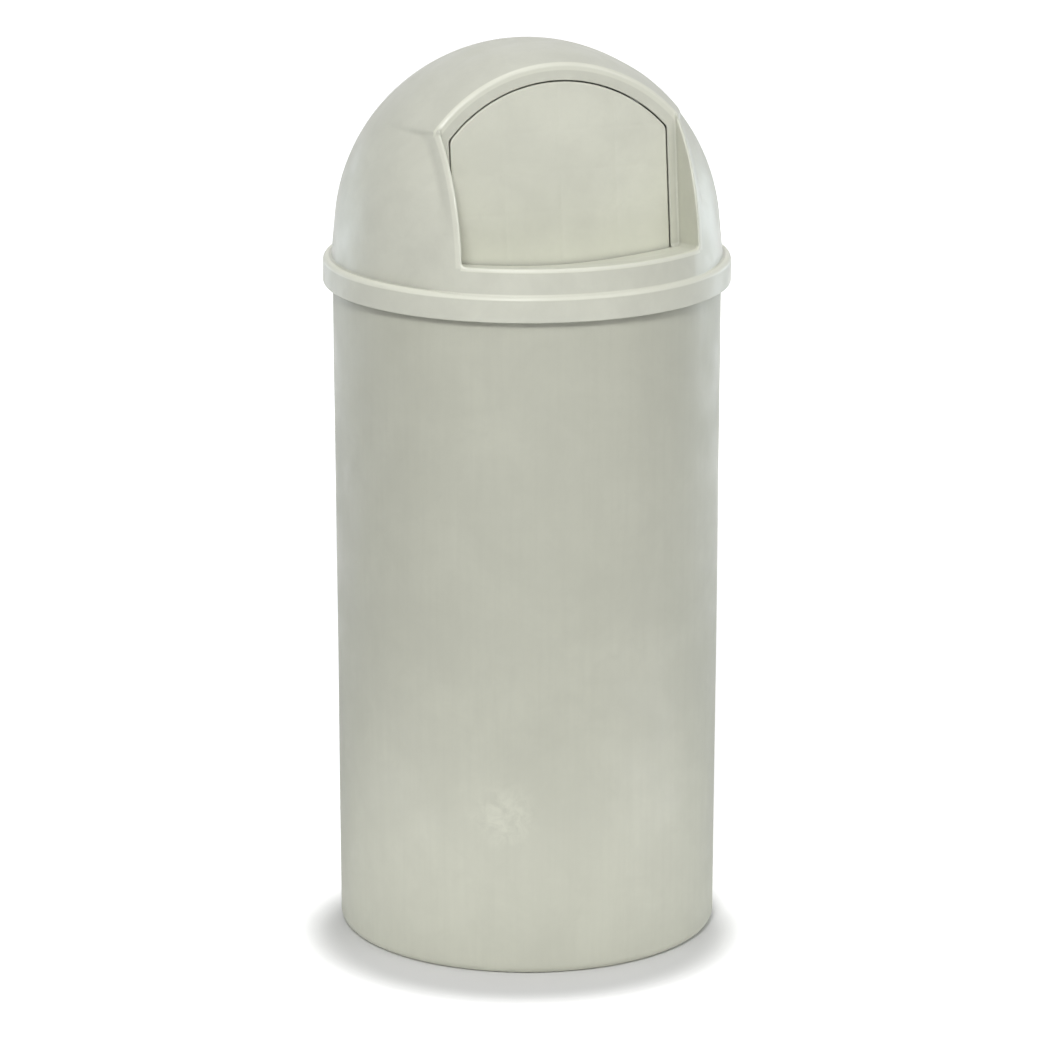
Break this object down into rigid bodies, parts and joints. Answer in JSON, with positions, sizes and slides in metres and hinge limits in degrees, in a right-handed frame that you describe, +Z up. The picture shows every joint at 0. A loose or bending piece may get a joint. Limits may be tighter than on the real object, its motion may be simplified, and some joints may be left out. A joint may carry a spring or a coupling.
{
  "type": "dome top waste receptacle",
  "caption": "Tall round waste receptacle with a lift-off dome top and a self-closing arched push door over a sloping sill.",
  "frame": {"origin": "on the ground at the middle of the foot ring", "axes": "+Z up, the push door faces -Y; to someone facing the door, -X and the left nodes are on the left"},
  "size_m": [0.4779, 0.478, 1.067],
  "materials": {
    "body_plastic": "satin moulded off-white beige",
    "dome_plastic": "satin moulded off-white beige",
    "door_plastic": "satin moulded off-white beige",
    "band_elastic": "natural elastic",
    "rod_steel": "drawn stainless rod",
    "bracket_steel": "zinc plated sheet",
    "screw_steel": "zinc plated",
    "spring_steel": "spring wire",
    "bush_nylon": "natural nylon",
    "bumper_rubber": "soft black rubber"
  },
  "bodies": {
    "base": {"base_body": "body_plastic", "bag_retainer_band": "band_elastic"},
    "dome": {"dome_shell": "dome_plastic", "hinge_bracket_left": "bracket_steel", "hinge_bracket_right": "bracket_steel", "bracket_screws": "screw_steel", "hinge_bush_left": "bush_nylon", "hinge_bush_right": "bush_nylon", "closing_spring_left": "spring_steel", "closing_spring_right": "spring_steel", "sill_bumper_left": "bumper_rubber", "sill_bumper_right": "bumper_rubber"},
    "door": {"push_door": "door_plastic", "hinge_rod": "rod_steel", "rod_cap_left": "screw_steel", "rod_cap_right": "screw_steel"}
  },
  "joints": [
    {"name": "dome_lift", "type": "slide", "parent": "base", "child": "dome", "axis": [0, 0, 1], "range_m": [0, 0.05]},
    {"name": "door_swing", "type": "hinge", "parent": "dome", "child": "door", "pos_m": [0, -0.08496, 1.00657], "axis": [1, 0, 0], "range_deg": [0, 65], "stiffness_Nm_per_rad": 0.15, "springref_deg": -68.75, "deforming": ["closing_spring_left", "closing_spring_right"]}
  ]
}
